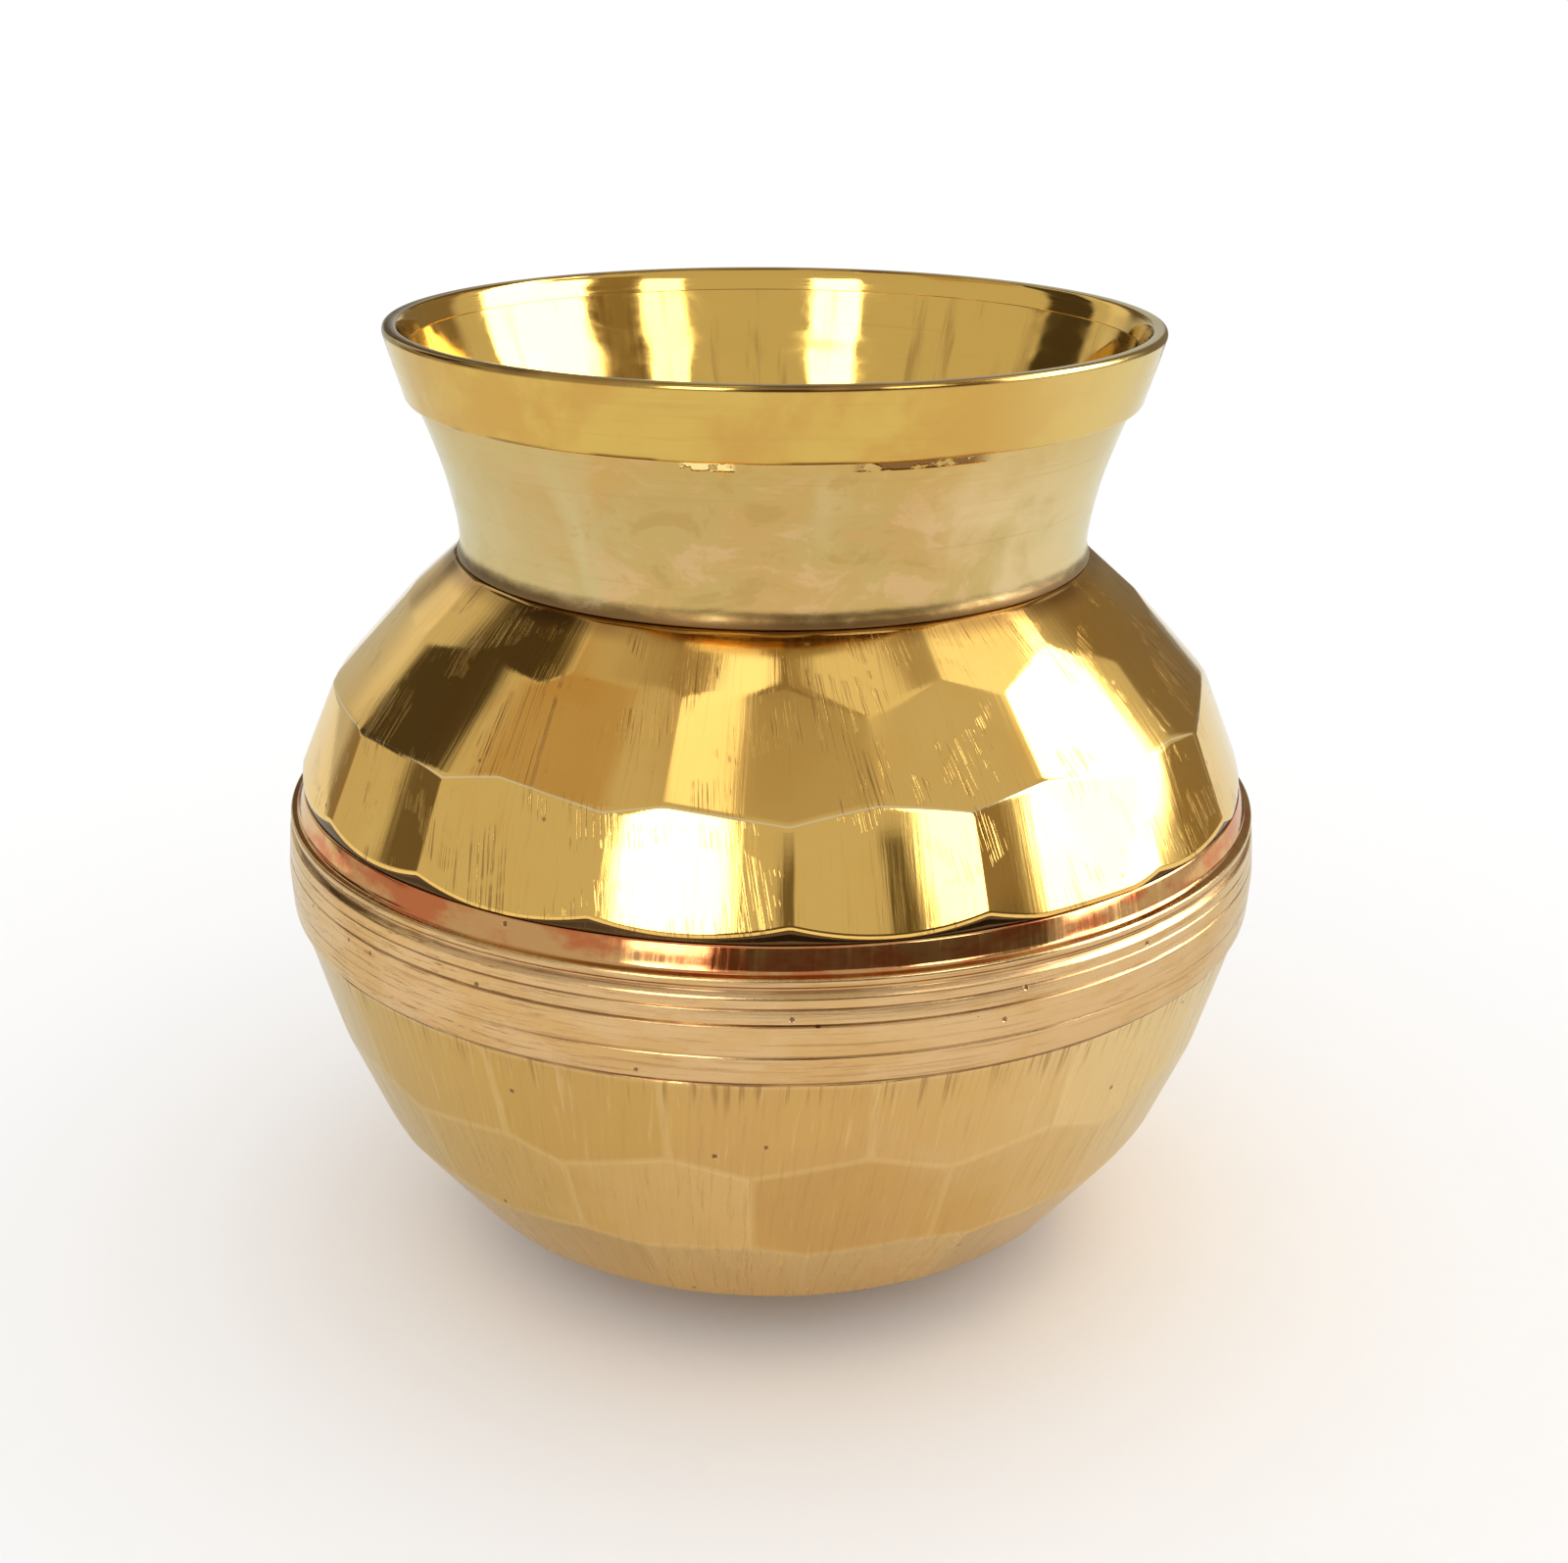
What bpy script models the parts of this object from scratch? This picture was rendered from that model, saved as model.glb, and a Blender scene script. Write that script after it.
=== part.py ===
"""Brass kalash: a round-bellied water pot with a flared neck.

Two thick brass shells make the body. The lower one carries the turned belly
band, and the upper one seats inside its rim on a spigot. The neck is a third
turned piece whose foot drops through the shoulder's opening, and a hoop caps
the lip. Beads of brazing metal close the two body joints from inside.
The upper and lower body are ground with rows of hand-cut flats.

Metres, +Z up, origin at the centre of the flat base. Azimuth 0 is the front
of the pot, towards -Y, and positive azimuths turn towards +X.
"""

import math

import bmesh
import bpy
from mathutils import Vector

# ---------------------------------------------------------------- dimensions
MM = 0.001
GAP = 0.3            # clearance left between neighbouring pieces
TURN_STEPS = 60      # segments round every turned surface

HEIGHT = 100.0       # base to lip
BASE_R = 21.5        # flat the pot stands on
BELLY_R = 52.0       # largest radius, on the belly band
BAND_LOW_Z = 39.8    # lower edge of the turned band, where the flats begin
RIM_Z = 52.55        # top edge of the lower bowl
RIM_R = 50.5
LAP_R = 49.3         # bore of the lower bowl's rim, which takes the spigot
SPIGOT_DEPTH = 5.0   # how far the upper shell reaches into the lower bowl
SPIGOT_WALL = 1.4
FLOOR_T = 2.2        # thickness of the bowl's floor
WALL = 1.5           # shell thickness behind the flats

SHOULDER_Z = 76.45   # top of the upper shell, round the neck
OPENING_R = 32.2     # hole the neck's foot drops through
NECK_ROOT_R = 32.85
NECK_FOOT_Z = 72.4   # lower end of the neck's foot
NECK_WALL = 1.1

HOOP_LOW_Z = 92.75   # lower edge of the hoop round the lip
HOOP_LOW_R = 37.45
LIP_R = 39.4
HOOP_T = 0.8         # hoop thickness over the neck
LIP_DEPTH = 2.05     # how far the hoop's cap reaches down inside the lip
BEAD = 0.9           # side of the brazing beads

# Rows of flats: top z, radius of the edges between flats at the top, bottom z,
# radius of those edges at the bottom, and where the edges stand round the
# front, in degrees. They were cut by hand and eye, so no two are equal.
UPPER_ROWS = (
    (SHOULDER_Z, 33.3, 71.8, 38.4, (-62, -44, -29, -14, 2, 24, 46)),
    (71.8, 38.4, 63.2, 46.3, (-61, -33, -12, 12, 33, 57)),
    (63.2, 46.3, 53.3, 50.8, (-60, -41, -19, 2, 23, 47, 64)),
)
LOWER_ROWS = (
    (BAND_LOW_Z, 51.9, 28.6, 48.8, (-53, -31, -11, 11, 34, 56)),
    (28.6, 48.8, 17.4, 44.0, (-46, -24, -2, 21, 44)),
    (17.4, 44.0, 7.6, 36.3, (-38, -16, 5, 27, 49)),
)
FLAT_PITCH = 22.5    # usual angle one flat takes, sixteen to a row


# ------------------------------------------------------------------ helpers
def polar(radius, azimuth_deg, z):
    a = math.radians(azimuth_deg)
    return Vector((radius * math.sin(a), -radius * math.cos(a), z))


def material(name, color, roughness, metallic=1.0):
    mat = bpy.data.materials.new(name)
    mat.use_nodes = True
    shader = mat.node_tree.nodes["Principled BSDF"]
    shader.inputs["Base Color"].default_value = (*color, 1.0)
    shader.inputs["Roughness"].default_value = roughness
    shader.inputs["Metallic"].default_value = metallic
    return mat


def collection(name):
    coll = bpy.data.collections.new(name)
    bpy.context.scene.collection.children.link(coll)
    return coll


def turned(name, profile, coll, closed, steps=TURN_STEPS):
    """Turns an (r, z) profile in millimetres about Z with a Screw modifier.
    The profile runs up the inner side and down the outer side."""
    mesh = bpy.data.meshes.new(name)
    verts = [(r * MM, 0.0, z * MM) for r, z in profile]
    edges = [(i, i + 1) for i in range(len(verts) - 1)]
    if closed:
        edges.append((len(verts) - 1, 0))
    mesh.from_pydata(verts, edges, [])
    obj = bpy.data.objects.new(name, mesh)
    coll.objects.link(obj)
    screw = obj.modifiers.new("turn", "SCREW")
    screw.axis = "Z"
    screw.angle = math.tau
    screw.steps = steps
    screw.render_steps = steps
    screw.use_merge_vertices = True
    screw.merge_threshold = 0.00002
    screw.use_smooth_shade = True
    return obj


def offset_profile(points, distance):
    """Moves an (r, z) line sideways, towards its right hand as it runs, and
    mitres its corners."""
    normals = []
    for (r0, z0), (r1, z1) in zip(points, points[1:]):
        length = math.hypot(r1 - r0, z1 - z0)
        normals.append(((z1 - z0) / length, -(r1 - r0) / length))
    result = []
    for i, (r, z) in enumerate(points):
        n0 = normals[max(i - 1, 0)]
        n1 = normals[min(i, len(normals) - 1)]
        mr, mz = n0[0] + n1[0], n0[1] + n1[1]
        scale = distance * 2.0 / (mr * mr + mz * mz)
        result.append((r + mr * scale, z + mz * scale))
    return result


def row_edges(front):
    """Every edge angle of a row: the front ones as cut, the rest spaced
    evenly round the back with a small swing, as a hand sets them."""
    span = 360.0 - (front[-1] - front[0])
    count = round(span / FLAT_PITCH)
    step = span / count
    back = []
    for i in range(1, count):
        swing = 1.6 * math.sin(2.3 * i + 0.11 * front[0])
        back.append(front[-1] + i * step + swing)
    return list(front) + back


def flats_solid(name, rows, low, high, coll):
    """A cylinder blank with one plane cut for each flat of each row."""
    bm = bmesh.new()
    bmesh.ops.create_cone(bm, cap_ends=True, segments=24, radius1=0.075,
                          radius2=0.075, depth=(high - low) * MM)
    bmesh.ops.translate(bm, verts=bm.verts,
                        vec=(0.0, 0.0, 0.5 * (high + low) * MM))
    for z_top, r_top, z_low, r_low, front in rows:
        edges = row_edges(front)
        for a0, a1 in zip(edges, edges[1:] + [edges[0] + 360.0]):
            middle = 0.5 * (a0 + a1)
            shrink = math.cos(math.radians(0.5 * (a1 - a0)))
            top = polar(r_top * shrink * MM, middle, z_top * MM)
            bottom = polar(r_low * shrink * MM, middle, z_low * MM)
            along = bottom - top
            sideways = polar(1.0, middle + 90.0, 0.0)
            normal = sideways.cross(along).normalized()
            if normal.dot(polar(1.0, middle, 0.0)) < 0.0:
                normal.negate()
            cut = bmesh.ops.bisect_plane(
                bm, geom=bm.verts[:] + bm.edges[:] + bm.faces[:],
                dist=1e-7, plane_co=top, plane_no=normal, clear_outer=True)
            rim = [g for g in cut["geom_cut"]
                   if isinstance(g, bmesh.types.BMEdge) and g.is_boundary]
            if rim:
                bmesh.ops.holes_fill(bm, edges=rim, sides=0)
    bmesh.ops.dissolve_degenerate(bm, dist=1e-6, edges=bm.edges[:])
    bmesh.ops.recalc_face_normals(bm, faces=bm.faces[:])
    mesh = bpy.data.meshes.new(name)
    bm.to_mesh(mesh)
    bm.free()
    obj = bpy.data.objects.new(name, mesh)
    coll.objects.link(obj)
    return obj


def as_cutter(obj):
    obj.hide_render = True
    obj.display_type = "WIRE"


def cut(obj, tool, operation):
    boolean = obj.modifiers.new(operation.lower(), "BOOLEAN")
    boolean.object = tool
    boolean.operation = operation
    boolean.solver = "EXACT"


# -------------------------------------------------------------------- pieces
def lower_bowl(parts, tools):
    # centre line of the flats and the base, down to the middle
    shrink = math.cos(math.radians(FLAT_PITCH / 2))
    flats = [(LOWER_ROWS[0][1] * shrink, BAND_LOW_Z)]
    flats += [(row[3] * shrink, row[2]) for row in LOWER_ROWS]
    flats += [(BASE_R + 1.7, 0.9)]
    inner = offset_profile(flats, WALL)
    inner = [(min(r, LAP_R), z) for r, z in inner]
    inner[-1] = (inner[-1][0] - 0.8, FLOOR_T)
    inside = [(0.0, FLOOR_T)] + inner[::-1] + [(LAP_R, BAND_LOW_Z + 3.0)]

    def groove(z, r, depth, width):
        return [(r, z + width / 2), (r - depth, z), (r, z - width / 2)]

    band = [
        (LAP_R, RIM_Z),
        (RIM_R - 0.25, RIM_Z),
        (RIM_R, RIM_Z - 0.25),
        (50.78, 51.4),
        (51.1, 50.35),
        (51.5, 50.0),
        (51.55, 49.6),
    ]
    band += groove(49.05, 51.55, 0.35, 0.7)[1:]
    band += [(51.78, 48.0)]
    band += groove(45.9, 51.95, 0.25, 0.5)
    band += [(BELLY_R, 44.3)]
    band += groove(42.8, BELLY_R, 0.2, 0.4)
    band += [(51.75, 40.9), (51.45, BAND_LOW_Z)]
    blank = [(50.8, 35.3), (49.5, 28.6), (45.0, 17.4), (38.7, 9.0)]
    foot = [(23.4, 0.9), (22.3, 0.2), (BASE_R, 0.0), (0.0, 0.0)]
    bowl = turned("lower_bowl", inside + band + blank + foot, parts, False)

    flats_tool = flats_solid("bowl_flats", LOWER_ROWS, -6.0, 60.0, tools)
    waste = turned("bowl_waste", [(0.0, BAND_LOW_Z), (62.0, BAND_LOW_Z),
                                  (62.0, -4.0), (0.0, -4.0)],
                   tools, False, steps=24)
    cut(waste, flats_tool, "DIFFERENCE")
    as_cutter(flats_tool)
    as_cutter(waste)
    cut(bowl, waste, "DIFFERENCE")
    return bowl


def shoulder_shell(parts, tools):
    shrink = math.cos(math.radians(FLAT_PITCH / 2))
    flats = [(row[1] * shrink, row[0]) for row in UPPER_ROWS]
    flats += [(UPPER_ROWS[-1][3] * shrink, UPPER_ROWS[-1][2])]
    inner = offset_profile(flats, WALL)[1:]
    seat_z = RIM_Z + GAP
    spigot_r = LAP_R - GAP
    spigot_z = seat_z - SPIGOT_DEPTH
    bore_low = SHOULDER_Z - 1.35
    inside = [(spigot_r - SPIGOT_WALL, spigot_z),
              (spigot_r - SPIGOT_WALL, seat_z - 0.6)]
    inside += inner[::-1]
    inside += [(OPENING_R + 0.5, bore_low), (OPENING_R, bore_low + 0.3)]
    outside = [
        (OPENING_R, SHOULDER_Z),
        (34.0, SHOULDER_Z),
        (39.9, 71.8),
        (47.6, 63.2),
        (51.4, 56.2),
        (50.4, 54.4),
        (49.95, seat_z + 0.15),
        (49.75, seat_z),
        (spigot_r, seat_z),
        (spigot_r, spigot_z + 0.4),
        (spigot_r - 0.4, spigot_z),
    ]
    shell = turned("shoulder_shell", inside + outside, parts, True)
    flats_tool = flats_solid("shoulder_flats", UPPER_ROWS, 40.0, 84.0, tools)
    as_cutter(flats_tool)
    cut(shell, flats_tool, "INTERSECT")
    return shell


def neck_outline():
    """Outer (r, z) line of the neck from under the hoop to its root: a waist
    low down, opening upwards in one sweep."""
    waist_z, root_z = 78.3, SHOULDER_Z + GAP
    top_z = HOOP_LOW_Z - 0.4
    waist_r = 32.65
    top_r = HOOP_LOW_R - HOOP_T - GAP
    points = []
    for i in range(9):
        z = top_z + (waist_z - top_z) * i / 8
        t = (z - waist_z) / (top_z - waist_z)
        points.append((waist_r + (top_r - waist_r) * t ** 1.6, z))
    points.append((NECK_ROOT_R, root_z))
    return points


def hoop_slope():
    return (LIP_R - HOOP_LOW_R) / (HEIGHT - 0.6 - HOOP_LOW_Z)


def neck_collar(parts):
    slope = hoop_slope()
    edge_z = HEIGHT - LIP_DEPTH - GAP
    edge_r = HOOP_LOW_R - HOOP_T - GAP + slope * (edge_z - HOOP_LOW_Z)
    outer = [(edge_r - 0.15, edge_z), (edge_r, edge_z - 0.15)] + neck_outline()
    outer += [
        (OPENING_R - GAP, SHOULDER_Z + GAP),
        (OPENING_R - GAP, NECK_FOOT_Z + 0.3),
        (OPENING_R - GAP - 0.3, NECK_FOOT_Z),
    ]
    foot_r = OPENING_R - GAP - NECK_WALL
    inner = [(foot_r, NECK_FOOT_Z), (foot_r, SHOULDER_Z - 1.0)]
    for r, z in neck_outline()[-3::-1]:
        inner.append((r - NECK_WALL * 1.04, z))
    inner.append((edge_r - 0.85, edge_z))
    return turned("neck_collar", inner + outer, parts, True)


def rim_band(parts):
    slope = hoop_slope()
    ledge_z = HEIGHT - LIP_DEPTH
    ledge_r = HOOP_LOW_R - HOOP_T + slope * (ledge_z - HOOP_LOW_Z)
    round_r = 0.7
    centre = (LIP_R - round_r, HEIGHT - round_r)
    lip = []
    for i in range(7):
        a = math.radians(165.0 - 25.0 * i)
        lip.append((centre[0] + round_r * math.cos(a),
                    centre[1] + round_r * math.sin(a)))
    profile = [(HOOP_LOW_R - HOOP_T, HOOP_LOW_Z), (ledge_r, ledge_z),
               (ledge_r - 1.15, ledge_z)]
    profile += lip
    profile += [(HOOP_LOW_R + slope * 0.3, HOOP_LOW_Z + 0.3),
                (HOOP_LOW_R - 0.1, HOOP_LOW_Z)]
    return turned("rim_band", profile, parts, True)


def neck_braze(parts):
    """Bead in the corner between the neck's foot and the shell's underside."""
    r = OPENING_R
    z = SHOULDER_Z - 1.35 - GAP
    profile = [(r, z - 1.25 * BEAD), (r, z), (r + 0.3, z - 0.15),
               (r + BEAD, z - BEAD * 0.75), (r + BEAD * 0.5, z - 1.1 * BEAD)]
    return turned("neck_braze", profile, parts, True)


def belly_braze(parts):
    """Bead along the spigot's lower end, against the bowl's bore."""
    r = LAP_R - GAP
    z = RIM_Z + GAP - SPIGOT_DEPTH - GAP
    profile = [(r - BEAD, z), (r, z), (r, z - 1.3 * BEAD),
               (r - BEAD * 0.45, z - BEAD)]
    return turned("belly_braze", profile, parts, True)


def main():
    for obj in list(bpy.data.objects):
        bpy.data.objects.remove(obj, do_unlink=True)
    parts = collection("brass_kalash")
    tools = collection("cutters")

    finishes = (
        (lower_bowl(parts, tools), "satin_brass", (0.74, 0.50, 0.24), 0.34),
        (shoulder_shell(parts, tools), "polished_brass", (0.80, 0.57, 0.22), 0.14),
        (neck_collar(parts), "neck_brass", (0.76, 0.55, 0.30), 0.28),
        (rim_band(parts), "rim_brass", (0.80, 0.58, 0.25), 0.22),
        (neck_braze(parts), "neck_braze_alloy", (0.55, 0.38, 0.20), 0.50),
        (belly_braze(parts), "belly_braze_alloy", (0.55, 0.38, 0.20), 0.50),
    )
    for obj, name, color, roughness in finishes:
        obj.data.materials.append(material(name, color, roughness))
    bpy.context.view_layer.update()


main()
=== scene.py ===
"""Looks of a brass kalash: fine meshes of its four visible pieces, worked brass
materials, a pale floor and a soft studio round it.

Lengths in the tables are millimetres. Azimuth 0 is the front of the pot, -Y,
and positive azimuths turn towards +X.
"""

import math

import bpy
import numpy as np
from mathutils import Euler, Matrix, Vector


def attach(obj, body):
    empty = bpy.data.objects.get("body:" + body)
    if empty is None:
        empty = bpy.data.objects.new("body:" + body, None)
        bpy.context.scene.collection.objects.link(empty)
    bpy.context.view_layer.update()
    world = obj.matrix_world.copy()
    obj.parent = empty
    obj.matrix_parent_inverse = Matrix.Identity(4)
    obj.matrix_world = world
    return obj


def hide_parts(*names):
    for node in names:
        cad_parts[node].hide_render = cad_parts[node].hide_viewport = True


MM = 0.001
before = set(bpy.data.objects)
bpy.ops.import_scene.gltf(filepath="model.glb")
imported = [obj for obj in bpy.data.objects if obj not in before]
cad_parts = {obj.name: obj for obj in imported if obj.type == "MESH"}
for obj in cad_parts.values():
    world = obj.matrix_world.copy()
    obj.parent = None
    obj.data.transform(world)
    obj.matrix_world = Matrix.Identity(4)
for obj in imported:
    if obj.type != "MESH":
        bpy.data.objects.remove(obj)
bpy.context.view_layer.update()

# ------------------------------------------------------------------ the shape
HEIGHT = 100.0
SEAM_Z = 52.80        # joint between the two halves of the body
LAP_R = 49.3
SPIGOT_R = 49.0
SPIGOT_LOW_Z = 47.9
BAND_LOW_Z = 39.8
BASE_R = 21.5
FLOOR_T = 2.2
SHOULDER_Z = 76.45
OPENING_R = 32.2
NECK_FOOT_R = 31.9
NECK_FOOT_Z = 72.4
FLAT_PITCH = 22.5

# Rows of flats: top z, radius of the edges between flats there, low z, radius
# there, bulge of the edge line, flatness of a flat's section (1 is a plane),
# softness of the edges in degrees, softness of the row's lower edge in mm, and
# where the edges stand round the front. They were ground by hand and eye.
ROW_A = (76.2, 33.35, 71.8, 38.35, 0.0, 0.38, 0.7, 0.05,
         (-62, -44, -29, -14, 2, 24, 46))
ROW_B = (71.8, 38.35, 63.2, 46.2, 0.0, 0.27, 0.8, 0.05,
         (-61, -33, -12, 12, 33, 57))
ROW_C = (63.2, 46.2, 53.6, 50.24, 0.03, 0.44, 0.45, 0.05,
         (-60, -41, -19, 2, 23, 47, 64))
ROW_EDGE = (54.3, 49.95, 53.2, 50.02, 0.0, 0.0, 0.3, 0.05, ())
ROW_D = (39.8, 51.4, 28.6, 48.25, 0.0, 0.17, 0.7, 0.05,
         (-53, -31, -11, 11, 34, 56))
ROW_E = (28.6, 48.25, 17.4, 43.6, 0.0, 0.19, 0.8, 0.06,
         (-46, -24, -2, 21, 44))
ROW_F = (17.4, 43.6, 7.6, 36.0, 0.04, 0.30, 1.0, 0.10,
         (-38, -16, 5, 27, 49))
ROW_G = (7.6, 36.0, 0.6, 22.72, 0.0, 0.0, 0.3, 0.05, ())


def row_edges(front):
    """Every edge angle of a row: the front ones as cut, the rest spaced evenly
    round the back with a small swing, as a hand sets them."""
    if not front:
        return []
    span = 360.0 - (front[-1] - front[0])
    count = round(span / FLAT_PITCH)
    step = span / count
    back = []
    for i in range(1, count):
        swing = 1.6 * math.sin(2.3 * i + 0.11 * front[0])
        back.append(front[-1] + i * step + swing)
    return list(front) + back


class Row:
    """One row of flats as a function from azimuth and height to radius."""

    STEP = 0.05

    def __init__(self, data):
        (self.z0, self.r0, self.z1, self.r1, self.bulge, flat, soft,
         self.fillet, front) = data
        self.edges = row_edges(front)
        phi = np.arange(-180.0, 180.0, self.STEP)
        section = np.ones_like(phi)
        self.mid = np.zeros_like(phi)
        if self.edges:
            edges = np.array(self.edges)
            starts = np.sort((edges + 180.0) % 360.0 - 180.0)
            ends = np.append(starts[1:], starts[0] + 360.0)
            for k, (a, b) in enumerate(zip(starts, ends)):
                centre, half = 0.5 * (a + b), 0.5 * (b - a)
                depth = flat * (1.0 + 0.16 * math.sin(4.1 * k + self.z0))
                for turn in (0.0, -360.0):
                    inside = (phi + 0.0 >= a + turn) & (phi < b + turn)
                    d = np.radians(phi[inside] - centre - turn)
                    chord = math.cos(math.radians(half)) / np.cos(d)
                    section[inside] = 1.0 - depth + depth * chord
            for _ in range(2):
                section = self.blur(section, soft)
        self.phi, self.section = phi, section

    def blur(self, values, width):
        n = max(int(round(width / self.STEP)) | 1, 1)
        wrapped = np.concatenate([values[-n:], values, values[:n]])
        return np.convolve(wrapped, np.ones(n) / n, "same")[n:-n]

    def at(self, phi, z):
        g = np.interp((phi + 180.0) % 360.0 - 180.0, self.phi, self.section,
                      period=360.0)
        t = (self.z0 - z) / (self.z0 - self.z1)
        line = self.r0 + (self.r1 - self.r0) * t
        arch = np.where(t < 0.0, 4.0 * t,
                        np.where(t > 1.0, 4.0 * (1.0 - t), 4.0 * t * (1.0 - t)))
        return (line + self.bulge * arch) * g + self.lean(phi, z)

    def lean(self, phi, z):
        """A slow unevenness of the row from flat to flat."""
        if not self.edges:
            return 0.0
        p = np.radians(phi)
        return (0.035 * np.sin(3.0 * p + self.z0)
                + 0.030 * np.sin(5.0 * p + 2.1 * self.z0))


def crossing(upper, lower, phi, z_guess, reach=3.2):
    """Height at which two rows meet, at each azimuth."""
    high = np.full_like(phi, z_guess + reach)
    low = np.full_like(phi, z_guess - reach)
    for _ in range(30):
        mid = 0.5 * (high + low)
        above = upper.at(phi, mid) < lower.at(phi, mid)
        high = np.where(above, mid, high)
        low = np.where(above, low, mid)
    return 0.5 * (high + low)


def soft_min(a, b, k):
    h = np.maximum(k - np.abs(a - b), 0.0) / k
    return np.minimum(a, b) - h * h * k * 0.25


def columns(rows, fill=1.4, near=(0.22, 0.75)):
    """Azimuths of the mesh columns: two close pairs at every edge between
    flats, and an even fill between them."""
    marks = []
    for row in rows:
        for edge in row.edges:
            e = (edge + 180.0) % 360.0 - 180.0
            for d in near:
                marks += [e - d, e + d]
    marks = np.sort((np.array(marks) + 180.0) % 360.0 - 180.0)
    kept = [marks[0]]
    for m in marks[1:]:
        if m - kept[-1] > 0.17:
            kept.append(m)
    kept = np.array(kept)
    out = []
    ends = np.append(kept[1:], kept[0] + 360.0)
    for a, b in zip(kept, ends):
        n = max(int(math.ceil((b - a) / fill)), 1)
        out += [a + (b - a) * i / n for i in range(n)]
    return np.array(out)


def ripple(phi, z, seed, size):
    """Slow unevenness of a hand-ground surface, in millimetres."""
    p = np.radians(phi)
    total = np.zeros(np.broadcast(p, z).shape)
    for i, (k, m, w) in enumerate((
            (9, 0.21, 1.0), (14, -0.33, 0.7), (23, 0.52, 0.42),
            (31, -0.74, 0.30), (5, 0.90, 0.35), (40, 0.18, 0.24))):
        total = total + w * np.sin(k * p + m * z + 1.7 * seed + 2.4 * i)
    return size * total


# ---------------------------------------------------------------- mesh makers
class Rings:
    """A stack of closed rings of vertices on shared columns."""

    def __init__(self, phi):
        self.phi = phi
        self.r, self.z, self.zone, self.edge = [], [], [], []
        self.tone = []

    def add(self, r, z, zone=0.0, edge=9.0):
        ones = np.ones_like(self.phi)
        self.r.append(r * ones)
        self.z.append(z * ones)
        self.zone.append(zone * ones)
        self.edge.append(edge * ones)
        self.tone.append(0.5 * ones)

    def line(self, points, zone=0.0):
        for r, z in points:
            self.add(r, z, zone)

    def build(self, name, poles=(), closed=True):
        """poles are the heights of a centre point before the first ring and
        after the last; a closed stack joins its last ring to its first."""
        n, m = len(self.phi), len(self.r)
        a = np.radians(self.phi)
        r, z = np.array(self.r), np.array(self.z)
        co = np.stack([r * np.sin(a), -r * np.cos(a), z], -1).reshape(-1, 3)
        ring = np.arange(n)
        step = np.roll(ring, -1)
        faces = []
        last = m if closed else m - 1
        for i in range(last):
            j = (i + 1) % m
            faces += np.stack([i * n + ring, i * n + step, j * n + step,
                               j * n + ring], -1).tolist()
        zone = np.array(self.zone).reshape(-1)
        edge = np.array(self.edge).reshape(-1)
        tone = np.array(self.tone).reshape(-1)
        if poles:
            co = np.vstack([co, [[0, 0, poles[0]], [0, 0, poles[1]]]])
            zone = np.append(zone, [self.zone[0][0], self.zone[-1][0]])
            edge = np.append(edge, [9.0, 9.0])
            tone = np.append(tone, [0.5, 0.5])
            first, end = m * n, m * n + 1
            faces += [[first, s, f] for f, s in zip(ring, step)]
            base = (m - 1) * n
            faces += [[end, base + f, base + s] for f, s in zip(ring, step)]
        mesh = bpy.data.meshes.new(name)
        mesh.from_pydata((co * MM).tolist(), [], faces)
        for label, data in (("zone", zone), ("edge_mm", edge), ("tone", tone)):
            layer = mesh.attributes.new(label, "FLOAT", "POINT")
            layer.data.foreach_set("value", np.asarray(data, dtype=np.float32))
        mesh.validate()
        mesh.update()
        obj = bpy.data.objects.new(name, mesh)
        bpy.context.scene.collection.objects.link(obj)
        volume = signed_volume(mesh)
        if volume < 0.0:
            mesh.flip_normals()
        mesh.shade_smooth()
        return obj


def signed_volume(mesh):
    mesh.calc_loop_triangles()
    co = np.empty(len(mesh.vertices) * 3)
    mesh.vertices.foreach_get("co", co)
    co = co.reshape(-1, 3)
    tri = np.empty(len(mesh.loop_triangles) * 3, dtype=np.int64)
    mesh.loop_triangles.foreach_get("vertices", tri)
    tri = tri.reshape(-1, 3)
    a, b, c = co[tri[:, 0]], co[tri[:, 1]], co[tri[:, 2]]
    return float(np.einsum("ij,ij->i", a, np.cross(b, c)).sum()) / 6.0


def rounded(points, step=1.0, arc=5):
    """A profile of (r, z, corner radius) points with its corners rounded and
    its long runs divided."""
    out = []
    for i, (r, z, fillet) in enumerate(points):
        if fillet <= 0.0 or i in (0, len(points) - 1):
            out.append((r, z))
            continue
        p = Vector((r, z))
        a = Vector(points[i - 1][:2]) - p
        b = Vector(points[i + 1][:2]) - p
        reach = min(fillet, 0.45 * a.length, 0.45 * b.length)
        start, end = p + a.normalized() * reach, p + b.normalized() * reach
        for k in range(arc + 1):
            t = k / arc
            q = start * (1 - t) ** 2 + p * 2 * t * (1 - t) + end * t * t
            out.append((q.x, q.y))
    dense = [out[0]]
    for (r0, z0), (r1, z1) in zip(out, out[1:]):
        n = max(int(math.hypot(r1 - r0, z1 - z0) / step), 1)
        for k in range(1, n + 1):
            dense.append((r0 + (r1 - r0) * k / n, z0 + (z1 - z0) * k / n))
    return dense


def edge_distance(row, phi, radius):
    """Arc distance to the nearest edge between flats, in millimetres."""
    if not row.edges:
        return np.full_like(phi, 9.0)
    edges = np.array(row.edges)
    d = np.abs((phi[:, None] - edges[None, :] + 180.0) % 360.0 - 180.0)
    return np.radians(d.min(1)) * radius


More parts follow.
